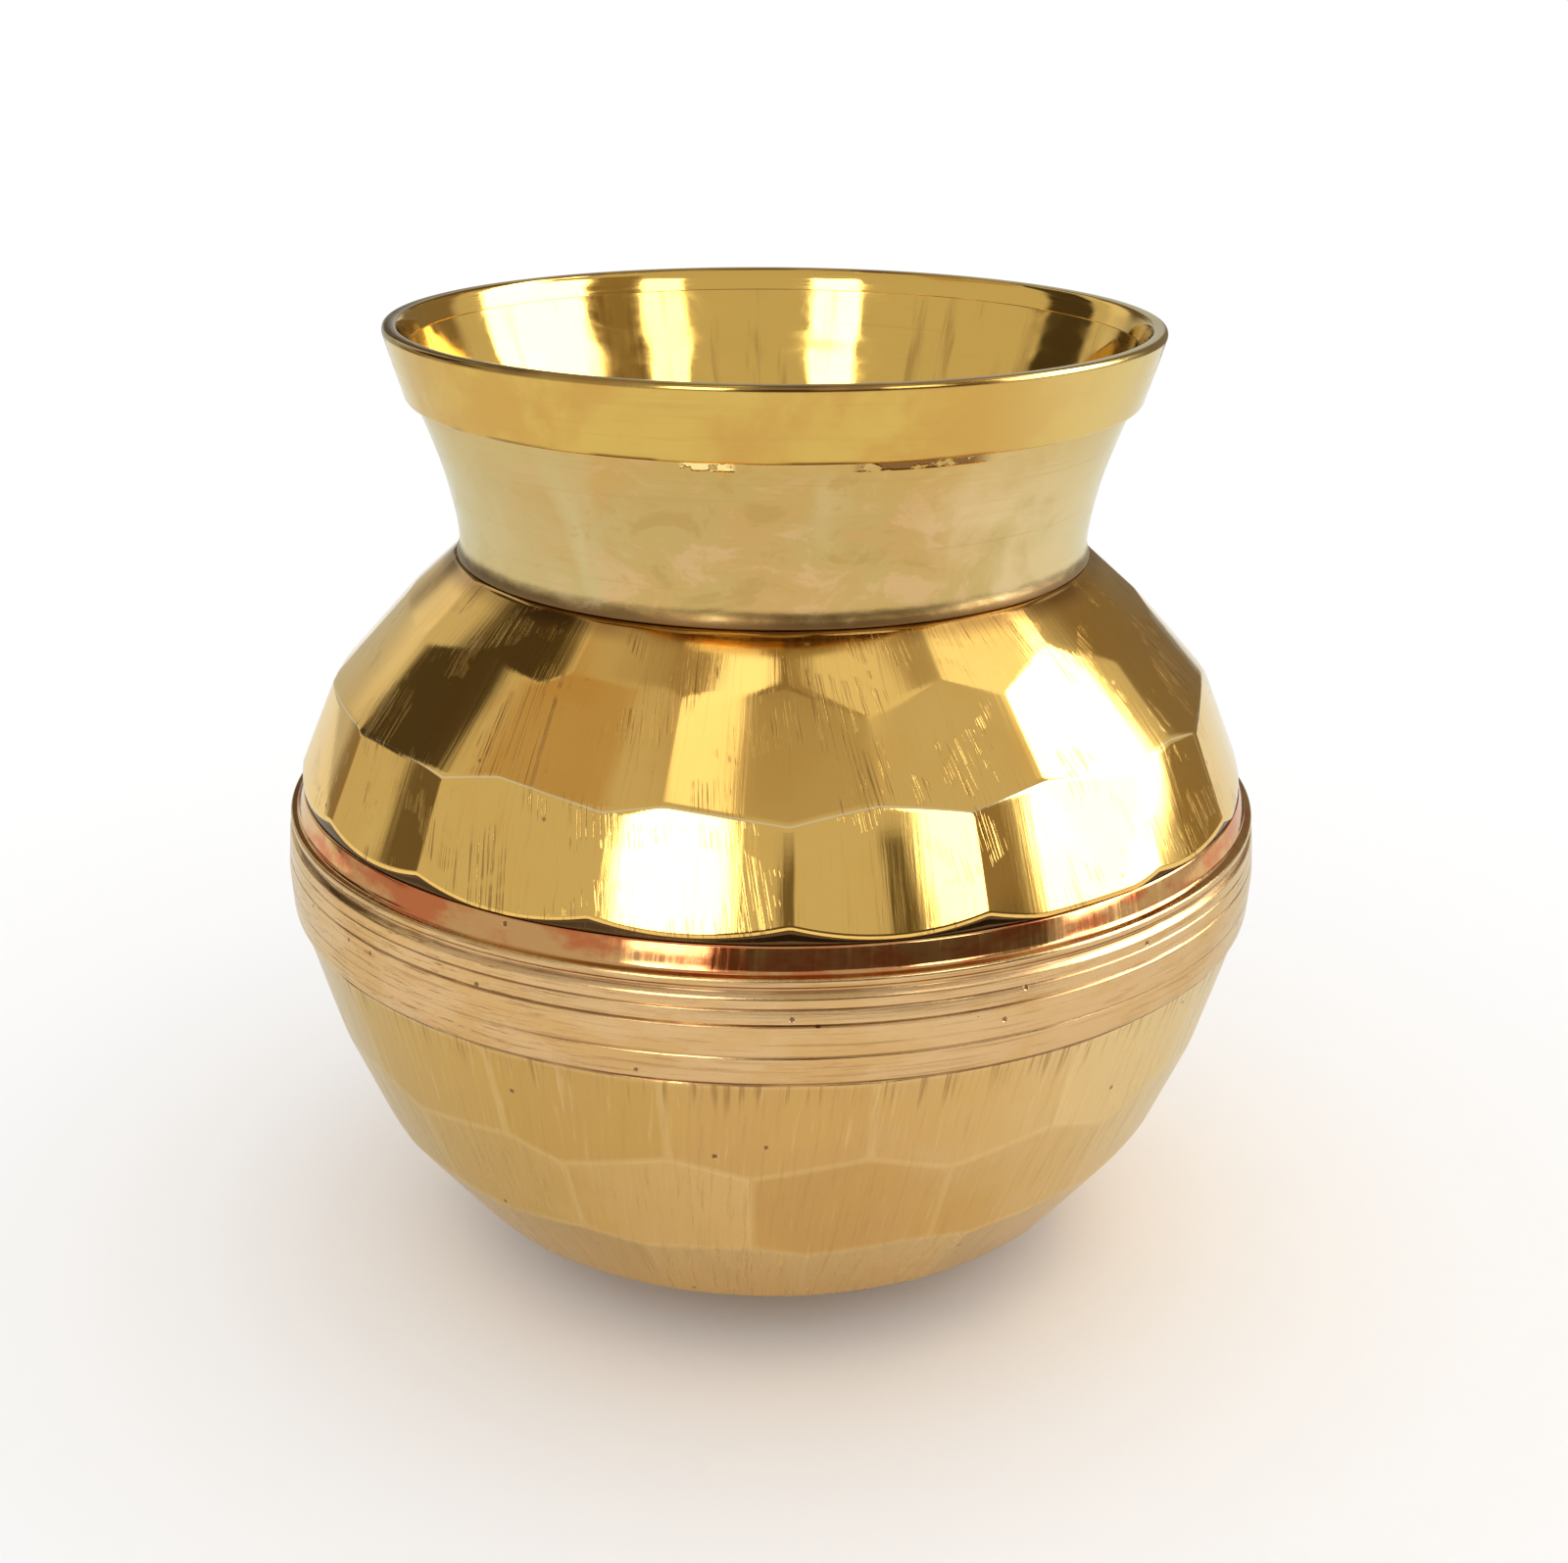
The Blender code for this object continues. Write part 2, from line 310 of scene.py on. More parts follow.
def flat_tone(row, phi):
    """A number from 0 to 1 for each flat, for how coarsely it was ground; on the bowl it also
    makes each flat lighter or darker, as painted light and shade.
    """
    if not row.edges:
        return np.full_like(phi, 0.5)
    starts = np.sort((np.array(row.edges) + 180.0) % 360.0 - 180.0)
    index = np.searchsorted(starts, phi, "right") % len(starts)
    wild = np.sin(12.9898 * index + 78.233 * row.z0) * 43758.5453
    return wild - np.floor(wild)


def flats_rings(rings, rows, bounds, seed, ripples, zone0, fills):
    """Adds the rings of stacked rows of flats, from bounds[0] down to
    bounds[-1], each an array of heights round the pot."""
    phi = rings.phi
    for i, row in enumerate(rows):
        top, low = bounds[i], bounds[i + 1]
        ends_top = (0.0, 0.14, 0.45) if i == 0 else (0.12, 0.42)
        ends_low = (0.42, 0.12)
        if i == len(rows) - 1:
            ends_low = (0.42, 0.0)
        heights = [top - e for e in ends_top]
        for k in range(1, fills[i]):
            t = k / fills[i]
            heights.append((top - ends_top[-1]) * (1 - t)
                           + (low + ends_low[0]) * t)
        heights += [low + e for e in ends_low]
        for z in heights:
            r = row.at(phi, z)
            if i > 0:
                r = soft_min(r, rows[i - 1].at(phi, z), rows[i - 1].fillet)
            if i < len(rows) - 1:
                r = soft_min(r, rows[i + 1].at(phi, z), row.fillet)
            fade = np.clip(np.minimum(top - z, z - low) / 1.5, 0.0, 1.0)
            size = ripples[i]
            r = r + ripple(phi, z, seed + i, size) * (0.35 + 0.65 * fade)
            near = np.minimum(np.abs(top - z), np.abs(z - low))
            near = np.minimum(near, edge_distance(row, phi, 45.0))
            rings.r.append(r)
            rings.z.append(z * np.ones_like(phi))
            rings.zone.append(np.full_like(phi, zone0 + i))
            rings.edge.append(near)
            rings.tone.append(flat_tone(row, phi))


# --------------------------------------------------------------------- pieces
def make_shoulder():
    rows = [Row(d) for d in (ROW_A, ROW_B, ROW_C)]
    edge = Row(ROW_EDGE)
    phi = columns(rows)
    top = np.full_like(phi, SHOULDER_Z - 0.25)
    # where the lowest flats run out, over a small step
    foot = crossing(rows[2], edge, phi, 53.8, 2.4)
    foot = foot - 0.55 * np.exp(-((phi - 46.0) / 24.0) ** 2)
    foot = np.clip(foot, SEAM_Z + 0.22, 55.5)
    b = [top, crossing(rows[0], rows[1], phi, ROW_A[2], 2.6),
         crossing(rows[1], rows[2], phi, ROW_B[2]), foot]
    rings = Rings(phi)
    rings.line([(OPENING_R, SHOULDER_Z - 1.05), (OPENING_R, SHOULDER_Z - 0.05),
                (32.95, SHOULDER_Z)], 1.0)
    flats_rings(rings, rows, b, 1.0, (0.006, 0.009, 0.007), 1.0, (5, 9, 10))
    lip = rings.r[-1]
    wall = np.minimum(49.93 - 0.27 * (foot - 52.8), lip - 0.06)
    rings.add(lip - 0.03, foot - 0.05, 4.0, 0.0)
    rings.add(0.5 * (lip + wall) - 0.02, foot - 0.10, 4.0, 0.0)
    rings.add(wall, foot - 0.14, 4.0, 0.1)
    seat = SEAM_Z + 0.05
    for t in (0.35, 0.7, 1.0):
        z = (foot - 0.14) * (1 - t) + (seat + 0.02) * t
        rings.add(wall + 0.27 * (foot - 0.14 - z), z, 4.0, 0.4)
    rings.line([(49.80, seat), (49.5, seat), (SPIGOT_R, seat),
                (SPIGOT_R, SPIGOT_LOW_Z + 0.4), (SPIGOT_R - 0.4, SPIGOT_LOW_Z),
                (SPIGOT_R - 1.4, SPIGOT_LOW_Z), (SPIGOT_R - 1.4, seat - 0.6),
                (48.0, 53.4), (46.2, 57.4), (44.0, 62.3), (41.9, 64.7),
                (39.4, 67.6), (36.3, 71.0), (34.0, 73.4),
                (32.7, SHOULDER_Z - 1.35)], 6.0)
    return rings.build("shoulder_shell_fine")


def make_bowl():
    rows = [Row(d) for d in (ROW_D, ROW_E, ROW_F, ROW_G)]
    phi = columns(rows[:3])
    rings = Rings(phi)
    inner = [(1.5, FLOOR_T), (8.0, FLOOR_T), (15.0, FLOOR_T), (20.5, FLOOR_T),
             (21.9, 2.5), (25.0, 4.1), (30.0, 6.6), (34.4, 8.9), (37.0, 12.0),
             (39.6, 15.3), (41.9, 18.1), (43.6, 22.0), (46.2, 28.9),
             (47.9, 34.5), (49.2, 40.0), (LAP_R, 42.8), (LAP_R, 47.0),
             (LAP_R, SEAM_Z - 0.2)]
    rings.line(inner, 6.0)
    # the joint stands open on the left and closes round the front
    gap = (0.62 * np.exp(-((phi + 88.0) / 22.0) ** 2)
           + 0.10 * np.exp(-((phi - 95.0) / 30.0) ** 2))
    band = [
        (49.55, SEAM_Z - 0.03, 0.0), (49.88, SEAM_Z - 0.03, 0.06),
        (50.00, SEAM_Z - 0.16, 0.10), (50.26, 51.8, 0.3),
        (50.60, 50.62, 0.15), (50.78, 50.36, 0.1), (51.36, 50.24, 0.14),
        (51.50, 49.92, 0.2), (51.42, 49.50, 0.12),
        (51.22, 49.28, 0.10), (51.18, 48.95, 0.12), (51.42, 48.68, 0.12),
        (51.62, 48.40, 0.2), (51.66, 47.75, 0.1), (51.66, 47.50, 0.03),
        (51.52, 47.40, 0.03), (51.70, 47.28, 0.03), (51.84, 46.30, 0.2),
        (51.86, 46.08, 0.03), (51.62, 45.92, 0.05), (51.88, 45.74, 0.03),
        (51.95, 45.00, 0.3), (51.93, 43.00, 0.1), (51.82, 42.80, 0.04),
        (51.90, 42.62, 0.1), (51.84, 41.30, 0.3), (51.66, 40.16, 0.1),
        (51.28, BAND_LOW_Z + 0.04, 0.05), (51.26, BAND_LOW_Z - 0.08, 0.0),
    ]
    for r, z in rounded(band, step=0.34, arc=4):
        drop = gap * np.clip((z - 50.6) / 1.9, 0.0, 1.0)
        depth = 1.0
        if z < 48.2:
            depth = 0.55 + 0.45 * np.cos(np.radians(phi - 8.0) * 2.0)
        shape = np.interp(z, (39.8, 44.3, 48.4), (51.7, 51.95, 51.66))
        if z < 48.2 and z > 40.4:
            radius = shape + (r - shape) * depth
        else:
            radius = r
        rings.add(radius + ripple(phi, z, 3.0, 0.004), z - drop, 0.0)
    b = [np.full_like(phi, BAND_LOW_Z - 0.12)]
    b.append(crossing(rows[0], rows[1], phi, ROW_D[2]))
    b.append(crossing(rows[1], rows[2], phi, ROW_E[2]))
    b.append(crossing(rows[2], rows[3], phi, ROW_F[2], 2.4))
    b.append(np.full_like(phi, 0.6))
    flats_rings(rings, rows, b, 4.0, (0.010, 0.012, 0.014, 0.006), 3.0,
                (10, 10, 9, 9))
    rings.line([(22.3, 0.28), (21.9, 0.08), (BASE_R, 0.0), (19.0, 0.0),
                (15.0, 0.06), (8.0, 0.10), (1.5, 0.10)], 7.0)
    return rings.build("lower_bowl_fine", poles=(FLOOR_T, 0.10), closed=False)


def neck_radius(z):
    """Outer radius of the neck: a waist low down, opening in one sweep."""
    t = np.clip((z - 78.2) / (92.4 - 78.2), 0.0, 1.05)
    foot = np.clip((78.2 - z) / 1.5, 0.0, 1.0)
    return 32.60 + (36.42 - 32.60) * t ** 1.55 + 0.34 * foot ** 1.7


def make_neck():
    phi = np.arange(-180.0, 180.0, 1.0)
    rings = Rings(phi)
    outer = [z for z in np.arange(92.3, 76.95, -0.6)]
    for z in outer:
        rings.add(neck_radius(z) + ripple(phi, z, 7.0, 0.010), z, 1.0)
    rings.line([(32.93, 76.74), (32.91, 76.60), (32.8, 76.52),
                (NECK_FOOT_R, 76.52), (NECK_FOOT_R, NECK_FOOT_Z + 0.3),
                (NECK_FOOT_R - 0.3, NECK_FOOT_Z),
                (NECK_FOOT_R - 1.1, NECK_FOOT_Z)], 1.0)
    inner = [(NECK_FOOT_R - 1.1, 74.0), (30.9, 75.6)]
    rings.line(inner, 6.0)
    for z in np.arange(77.0, 97.3, 0.6):
        r = neck_radius(np.clip(z, 79.3, 92.4)) - 1.1
        if z > 92.4:
            r += 0.34 * (z - 92.4)
        rings.add(r + ripple(phi, z, 9.0, 0.008), z, 6.0)
    rings.line([(37.088, 97.60), (37.10, 97.645), (37.14, 97.652),
                (37.72, 97.65)], 6.0)
    rings.line([(37.80, 97.3), (37.3, 95.6), (36.85, 94.0), (36.46, 92.7)], 6.0)
    return rings.build("neck_collar_fine")


def make_rim():
    phi = np.arange(-180.0, 180.0, 1.0)
    rings = Rings(phi)
    profile = [
        (36.72, 92.78, 0.0), (37.34, 92.74, 0.10), (37.50, 92.98, 0.10),
        (37.86, 94.2, 0.6), (38.70, 97.0, 0.8), (39.24, 98.9, 0.5),
        (39.40, 99.45, 0.3), (39.22, 99.93, 0.25), (38.72, 100.0, 0.3),
        (38.08, 99.94, 0.25), (37.84, 99.60, 0.3), (37.56, 98.96, 0.3),
        (37.12, 97.70, 0.0), (37.106, 97.664, 0.0), (37.15, 97.658, 0.0),
        (37.97, 97.658, 0.0),
        (37.55, 95.6, 0.0),
        (37.06, 94.0, 0.0),
    ]
    for r, z in rounded(profile, step=0.5, arc=4):
        mouth = z > 97.6 and r < 37.95
        rings.add(r + ripple(phi, z, 9.0 if mouth else 11.0, 0.006), z,
                  6.0 if mouth else 2.0)
    return rings.build("rim_band_fine")


shoulder = make_shoulder()
bowl = make_bowl()
neck = make_neck()
rim = make_rim()

for piece, node, finish in ((shoulder, "shoulder_shell", "shell_brass"),
                            (bowl, "lower_bowl", "bowl_brass"),
                            (neck, "neck_collar", "neck_brass"),
                            (rim, "rim_band", "rim_brass")):
    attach(piece, "root")
    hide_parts(node)


# ------------------------------------------------------------------ materials
class Nodes:
    """Short calls for building a material's node tree."""

    def __init__(self, name):
        self.material = bpy.data.materials.new(name)
        self.material.use_nodes = True
        self.tree = self.material.node_tree
        self.shader = self.tree.nodes["Principled BSDF"]

    def new(self, kind, **settings):
        node = self.tree.nodes.new(kind)
        for key, value in settings.items():
            setattr(node, key, value)
        return node

    def link(self, a, b):
        self.tree.links.new(a, b)

    def feed(self, socket, value):
        if isinstance(value, bpy.types.NodeSocket):
            self.link(value, socket)
        else:
            socket.default_value = value

    def math(self, op, a, b=0.0, c=0.0, clamp=False):
        node = self.new("ShaderNodeMath", operation=op, use_clamp=clamp)
        for socket, value in zip(node.inputs, (a, b, c)):
            self.feed(socket, value)
        return node.outputs[0]

    def smooth(self, value, low, high, to_low=0.0, to_high=1.0):
        node = self.new("ShaderNodeMapRange", interpolation_type="SMOOTHSTEP")
        for socket, v in zip(node.inputs, (value, low, high, to_low, to_high)):
            self.feed(socket, v)
        return node.outputs[0]

    def mix(self, factor, a, b, blend="MIX"):
        node = self.new("ShaderNodeMix", data_type="RGBA", blend_type=blend)
        node.clamp_factor = True
        self.feed(node.inputs[0], factor)
        for socket, v in ((node.inputs[6], a), (node.inputs[7], b)):
            self.feed(socket, (*v, 1.0) if isinstance(v, tuple) else v)
        return node.outputs[2]

    def noise(self, vector, scale, detail=3.0, rough=0.55, distortion=0.0):
        node = self.new("ShaderNodeTexNoise", noise_dimensions="3D")
        self.link(vector, node.inputs["Vector"])
        for key, v in (("Scale", scale), ("Detail", detail),
                       ("Roughness", rough), ("Distortion", distortion)):
            node.inputs[key].default_value = v
        return node.outputs["Fac"]

    def combine(self, x, y, z):
        node = self.new("ShaderNodeCombineXYZ")
        for socket, v in zip(node.inputs, (x, y, z)):
            self.feed(socket, v)
        return node.outputs[0]

    def attribute(self, name):
        node = self.new("ShaderNodeAttribute", attribute_name=name)
        return node.outputs["Fac"]


def coordinates(n):
    """Millimetre position, its parts, and a direction round the axis."""
    where = n.new("ShaderNodeTexCoord").outputs["Object"]
    scaled = n.new("ShaderNodeVectorMath", operation="SCALE")
    n.link(where, scaled.inputs[0])
    scaled.inputs["Scale"].default_value = 1000.0
    split = n.new("ShaderNodeSeparateXYZ")
    n.link(scaled.outputs[0], split.inputs[0])
    x, y, z = split.outputs
    flat = n.combine(x, y, 0.0)
    unit = n.new("ShaderNodeVectorMath", operation="NORMALIZE")
    n.link(flat, unit.inputs[0])
    return scaled.outputs[0], x, y, z, unit.outputs[0]


def stretched(n, vector, across, along):
    """The position scaled by across in plan and along in height."""
    node = n.new("ShaderNodeVectorMath", operation="MULTIPLY")
    n.link(vector, node.inputs[0])
    node.inputs[1].default_value = (across, across, along)
    return node.outputs[0]


def brushed(n, unit, z, turns, rise, lean=0.0):
    """Coordinates for strokes that run up the pot, leaning by lean."""
    around = n.new("ShaderNodeVectorMath", operation="SCALE")
    n.link(unit, around.inputs[0])
    around.inputs["Scale"].default_value = turns
    if lean:
        spin = n.new("ShaderNodeVectorRotate", rotation_type="Z_AXIS")
        n.link(around.outputs[0], spin.inputs["Vector"])
        n.link(n.math("MULTIPLY", z, lean), spin.inputs["Angle"])
        base = spin.outputs[0]
    else:
        base = around.outputs[0]
    up = n.combine(0.0, 0.0, n.math("MULTIPLY", z, rise))
    total = n.new("ShaderNodeVectorMath", operation="ADD")
    n.link(base, total.inputs[0])
    n.link(up, total.inputs[1])
    return total.outputs[0]


def bump(n, height, distance, strength=1.0, normal=None):
    node = n.new("ShaderNodeBump")
    node.inputs["Strength"].default_value = strength
    node.inputs["Distance"].default_value = distance * MM
    n.link(height, node.inputs["Height"])
    if normal is not None:
        n.link(normal, node.inputs["Normal"])
    return node.outputs[0]


GRAZING = (0.86, 0.89, 0.82)          # what brass turns the light to at its edge


def finish_brass(n, color, rough, normal):
    n.link(color, n.shader.inputs["Base Color"])
    n.link(rough, n.shader.inputs["Roughness"])
    n.link(normal, n.shader.inputs["Normal"])
    n.shader.inputs["Metallic"].default_value = 1.0
    n.shader.inputs["Specular Tint"].default_value = (*GRAZING, 1.0)
    return n.material


def shell_material():
    """Bright flats: mirror brass with fine grinding strokes and a few brown specks,
    a painted highlight along the edge between the middle and the lowest flats,
    and painted shade under the neck and in the step below them."""
    n = Nodes("polished_brass_flats")
    mm, x, y, z, unit = coordinates(n)
    zone, edge = n.attribute("zone"), n.attribute("edge_mm")
    cloud = n.noise(mm, 0.07, 3.0, 0.6)
    strokes = n.noise(brushed(n, unit, z, 150.0, 0.12), 1.0, 4.0, 0.65)
    fine = n.noise(brushed(n, unit, z, 420.0, 0.35, 0.01), 1.0, 2.0, 0.6)
    broad = n.noise(brushed(n, unit, z, 42.0, 0.05), 1.0, 3.0, 0.6)
    # hatched scratches that the grinding left in places
    hatch = n.noise(brushed(n, unit, z, 210.0, 0.05, 0.004), 1.0, 3.0, 0.7)
    where = n.noise(mm, 0.13, 3.0, 0.6, 0.5)
    scored = n.math("MULTIPLY", n.smooth(hatch, 0.54, 0.61), n.smooth(where, 0.51, 0.60))
    rings_ = n.noise(stretched(n, mm, 0.08, 2.6), 1.0, 3.0, 0.6)
    tone = n.attribute("tone")
    gold = n.mix(n.smooth(cloud, 0.35, 0.65), (0.905, 0.565, 0.150),
                 (0.870, 0.500, 0.118))
    gold = n.mix(n.smooth(tone, 0.1, 0.9, 0.0, 0.55), gold, (0.87, 0.55, 0.140))
    gold = n.mix(n.math("MULTIPLY", n.smooth(strokes, 0.56, 0.72), 0.34), gold,
                 (0.60, 0.33, 0.085))
    gold = n.mix(n.math("MULTIPLY", scored, 0.75), gold, (0.36, 0.19, 0.055))
    # painted shade: the top of the shoulder is darkened in blotches under the neck's foot
    shade_under_neck = n.math("MULTIPLY", n.smooth(z, 74.6, 76.1), n.smooth(cloud, 0.34, 0.56, 0.35, 1.0))
    gold = n.mix(n.math("MULTIPLY", shade_under_neck, 0.75), gold, (0.36, 0.18, 0.05))
    # painted highlight: the edge between the middle and the lowest flats is painted pale
    pale_arris_highlight = n.math("MULTIPLY", n.smooth(zone, 2.02, 2.3), n.smooth(zone, 2.98, 2.7))
    gold = n.mix(n.math("MULTIPLY", pale_arris_highlight, 0.6), gold, (0.96, 0.80, 0.48))
    # painted shade: the wall of the small step under the lowest flats is painted near black
    step = n.smooth(zone, 3.6, 3.95)
    step_shade = n.mix(step, gold, (0.11, 0.058, 0.022))
    specks = n.new("ShaderNodeTexVoronoi", feature="F1")
    n.link(mm, specks.inputs["Vector"])
    specks.inputs["Scale"].default_value = 0.30
    dot = n.smooth(specks.outputs["Distance"], 0.085, 0.05)
    pick = n.new("ShaderNodeSeparateColor")
    n.link(specks.outputs["Color"], pick.inputs[0])
    dot = n.math("MULTIPLY", dot, n.math("GREATER_THAN", pick.outputs[0], 0.72))
    color = n.mix(n.math("MULTIPLY", dot, 0.75), step_shade, (0.30, 0.16, 0.06))
    inside = n.smooth(zone, 5.2, 5.8)
    color = n.mix(inside, color, (0.52, 0.32, 0.13))
    rough = n.smooth(strokes, 0.35, 0.75, 0.030, 0.085)
    rough = n.math("ADD", rough, n.math("MULTIPLY", n.smooth(zone, 2.6, 2.2), 0.022))
    rough = n.math("ADD", rough, n.math("MULTIPLY", tone, 0.022))
    rough = n.math("ADD", rough, n.math("MULTIPLY", step, 0.10))
    rough = n.math("ADD", rough, n.math("MULTIPLY", inside, 0.25))
    rough = n.math("ADD", rough, n.math("MULTIPLY", dot, 0.2))
    normal = bump(n, strokes, 0.0018)
    normal = bump(n, broad, 0.0075, 1.0, normal)
    normal = bump(n, n.math("MULTIPLY", scored, -1.0), 0.004, 1.0, normal)
    normal = bump(n, fine, 0.0005, 1.0, normal)
    normal = bump(n, rings_, 0.0006, 1.0, normal)
    return finish_brass(n, color, rough, normal)


def bowl_material():
    """Worn lower half: turned streaks round the band, upright grinding strokes
    on the dull flats below; painted light on its right side and near the
    bottom, painted shade on its left, painted highlights along the flats'
    edges and a painted red reflection in the cove."""
    n = Nodes("worn_brass_bowl")
    mm, x, y, z, unit = coordinates(n)
    zone, edge = n.attribute("zone"), n.attribute("edge_mm")
    on_band = n.math("MULTIPLY", n.smooth(zone, 0.6, 0.3), n.smooth(z, 50.3, 50.0))
    on_cove = n.math("MULTIPLY", n.smooth(zone, 0.6, 0.3), n.smooth(z, 50.1, 50.4))
    cloud = n.noise(mm, 0.06, 4.0, 0.62)
    patches = n.noise(stretched(n, mm, 0.10, 0.22), 1.0, 4.0, 0.6)
    turned_ = n.noise(stretched(n, mm, 0.07, 3.4), 1.0, 5.0, 0.62, 0.25)
    coarse = n.noise(stretched(n, mm, 0.11, 1.1), 1.0, 4.0, 0.6, 0.3)
    strokes = n.noise(brushed(n, unit, z, 95.0, 0.10, -0.0015), 1.0, 4.0, 0.68)
    fine = n.noise(brushed(n, unit, z, 300.0, 0.22, -0.0015), 1.0, 3.0, 0.65)
    tone = n.attribute("tone")
    tan = n.mix(n.smooth(cloud, 0.36, 0.66), (0.680, 0.425, 0.140),
                (0.635, 0.385, 0.145))
    # each flat lighter or darker by its tone: partly its own grinding, partly painted light
    # and shade between the flats
    tan = n.mix(n.smooth(tone, 0.45, 1.0, 0.0, 0.8), tan, (0.790, 0.545, 0.225))
    tan = n.mix(n.smooth(tone, 0.45, 0.0, 0.0, 0.6), tan, (0.560, 0.325, 0.085))
    # painted light and shade: lighter towards the right side, darker towards the left
    side_light = n.math("ADD", x, n.math("MULTIPLY", n.math("SUBTRACT", cloud, 0.5), 40.0))
    tan = n.mix(n.smooth(side_light, 8.0, 34.0, 0.0, 0.55), tan, (0.800, 0.590, 0.285))
    tan = n.mix(n.smooth(side_light, -4.0, -26.0, 0.0, 0.75), tan, (0.580, 0.360, 0.095))
    # painted light: lighter towards the bottom
    tan = n.mix(n.smooth(z, 20.0, 6.0, 0.0, 0.9), tan, (0.930, 0.560, 0.180))
    # painted highlight: the edges between the flats are painted pale
    edge_highlight = n.smooth(edge, 0.60, 0.10)
    tan = n.mix(n.math("MULTIPLY", edge_highlight, 0.22), tan, (0.88, 0.66, 0.32))
    band = n.mix(n.smooth(patches, 0.42, 0.62), (0.70, 0.455, 0.215),
                 (0.660, 0.405, 0.160))
    band = n.mix(n.math("MULTIPLY", n.smooth(turned_, 0.54, 0.68), 0.55), band,
                 (0.40, 0.21, 0.08))
    band = n.mix(n.math("MULTIPLY", n.smooth(coarse, 0.60, 0.70), 0.45), band,
                 (0.46, 0.24, 0.10))
    flats = n.mix(n.math("MULTIPLY", n.smooth(strokes, 0.52, 0.70), 0.40), tan,
                  (0.50, 0.30, 0.115))
    tails = n.noise(brushed(n, unit, z, 62.0, 0.05, -0.001), 1.0, 3.0, 0.6)
    reach = n.math("ADD", z, n.math("MULTIPLY", tails, 9.0))
    tails = n.math("MULTIPLY", n.smooth(tails, 0.52, 0.62), n.smooth(reach, 41.5, 44.5))
    flats = n.mix(n.math("MULTIPLY", tails, 0.6), flats, (0.33, 0.18, 0.055))
    flats = n.mix(n.math("MULTIPLY", n.smooth(strokes, 0.42, 0.30), 0.35), flats,
                  (0.80, 0.57, 0.30))
    color = n.mix(on_band, flats, band)
    # painted reflection: the cove is painted red-orange, in patches
    cove_reflection = n.mix(n.smooth(patches, 0.42, 0.58), (0.72, 0.40, 0.15),
                   (0.66, 0.20, 0.07))
    color = n.mix(on_cove, color, cove_reflection)
    # dark in the turned lines
    lines = None
    for height, width, depth in ((48.96, 0.24, 0.75), (47.40, 0.10, 0.60),
                                 (45.92, 0.15, 0.80), (42.80, 0.12, 0.55),
                                 (39.76, 0.20, 0.75)):
        d = n.math("ABSOLUTE", n.math("SUBTRACT", z, height))
        m = n.math("MULTIPLY", n.smooth(d, width, width * 0.4), depth)
        lines = m if lines is None else n.math("MAXIMUM", lines, m)
    worn_left = n.smooth(x, -8.0, -34.0)
    dashes = n.noise(stretched(n, mm, 0.22, 4.2), 1.0, 4.0, 0.7, 0.2)
    dashes = n.math("MULTIPLY", n.smooth(dashes, 0.56, 0.62), worn_left)
    dashes = n.math("MULTIPLY", dashes, on_band)
    color = n.mix(n.math("MULTIPLY", dashes, 0.75), color, (0.30, 0.13, 0.045))
    broken = n.smooth(n.noise(stretched(n, mm, 0.09, 0.3), 1.0, 3.0, 0.6),
                      0.36, 0.58, 0.25, 1.0)
    lines = n.math("MULTIPLY", lines, broken)
    color = n.mix(lines, color, (0.20, 0.085, 0.035))
    pits = n.new("ShaderNodeTexVoronoi", feature="F1")
    n.link(mm, pits.inputs["Vector"])
    pits.inputs["Scale"].default_value = 0.42
    dot = n.smooth(pits.outputs["Distance"], 0.13, 0.07)
    pick = n.new("ShaderNodeSeparateColor")
    n.link(pits.outputs["Color"], pick.inputs[0])
    belt = n.math("MULTIPLY", n.smooth(z, 44.8, 45.6), n.smooth(z, 48.4, 47.6))
    chance = n.math("ADD", 0.90, n.math("MULTIPLY", belt, -0.25))
    dot = n.math("MULTIPLY", dot, n.math("GREATER_THAN", pick.outputs[0], chance))
    color = n.mix(n.math("MULTIPLY", dot, 0.8), color, (0.16, 0.07, 0.03))
    inside = n.math("MULTIPLY", n.smooth(zone, 5.75, 5.95), n.smooth(zone, 6.5, 6.1))
    color = n.mix(inside, color, (0.50, 0.31, 0.13))
    rough = n.smooth(strokes, 0.3, 0.75, 0.13, 0.27)
    rough = n.math("ADD", rough, n.math("MULTIPLY", tone, 0.05))
    rough = n.mix(on_band, rough, n.smooth(turned_, 0.3, 0.7, 0.14, 0.30))
    gray = n.new("ShaderNodeRGBToBW")
    n.link(rough, gray.inputs[0])
    rough = n.math("SUBTRACT", gray.outputs[0], n.math("MULTIPLY", on_cove, 0.12))
    rough = n.math("ADD", rough, n.math("MULTIPLY", lines, 0.2))
    height = n.mix(on_band, strokes, turned_)
    mono = n.new("ShaderNodeRGBToBW")
    n.link(height, mono.inputs[0])
    keep = n.math("SUBTRACT", 1.0, n.math("MULTIPLY", on_cove, 0.85))
    normal = bump(n, n.math("MULTIPLY", mono.outputs[0], keep), 0.022)
    normal = bump(n, n.math("MULTIPLY", fine, keep), 0.005, 1.0, normal)
    sunk = n.math("SUBTRACT", 0.0, dot)
    normal = bump(n, sunk, 0.08, 1.0, normal)
    return finish_brass(n, color, rough, normal)


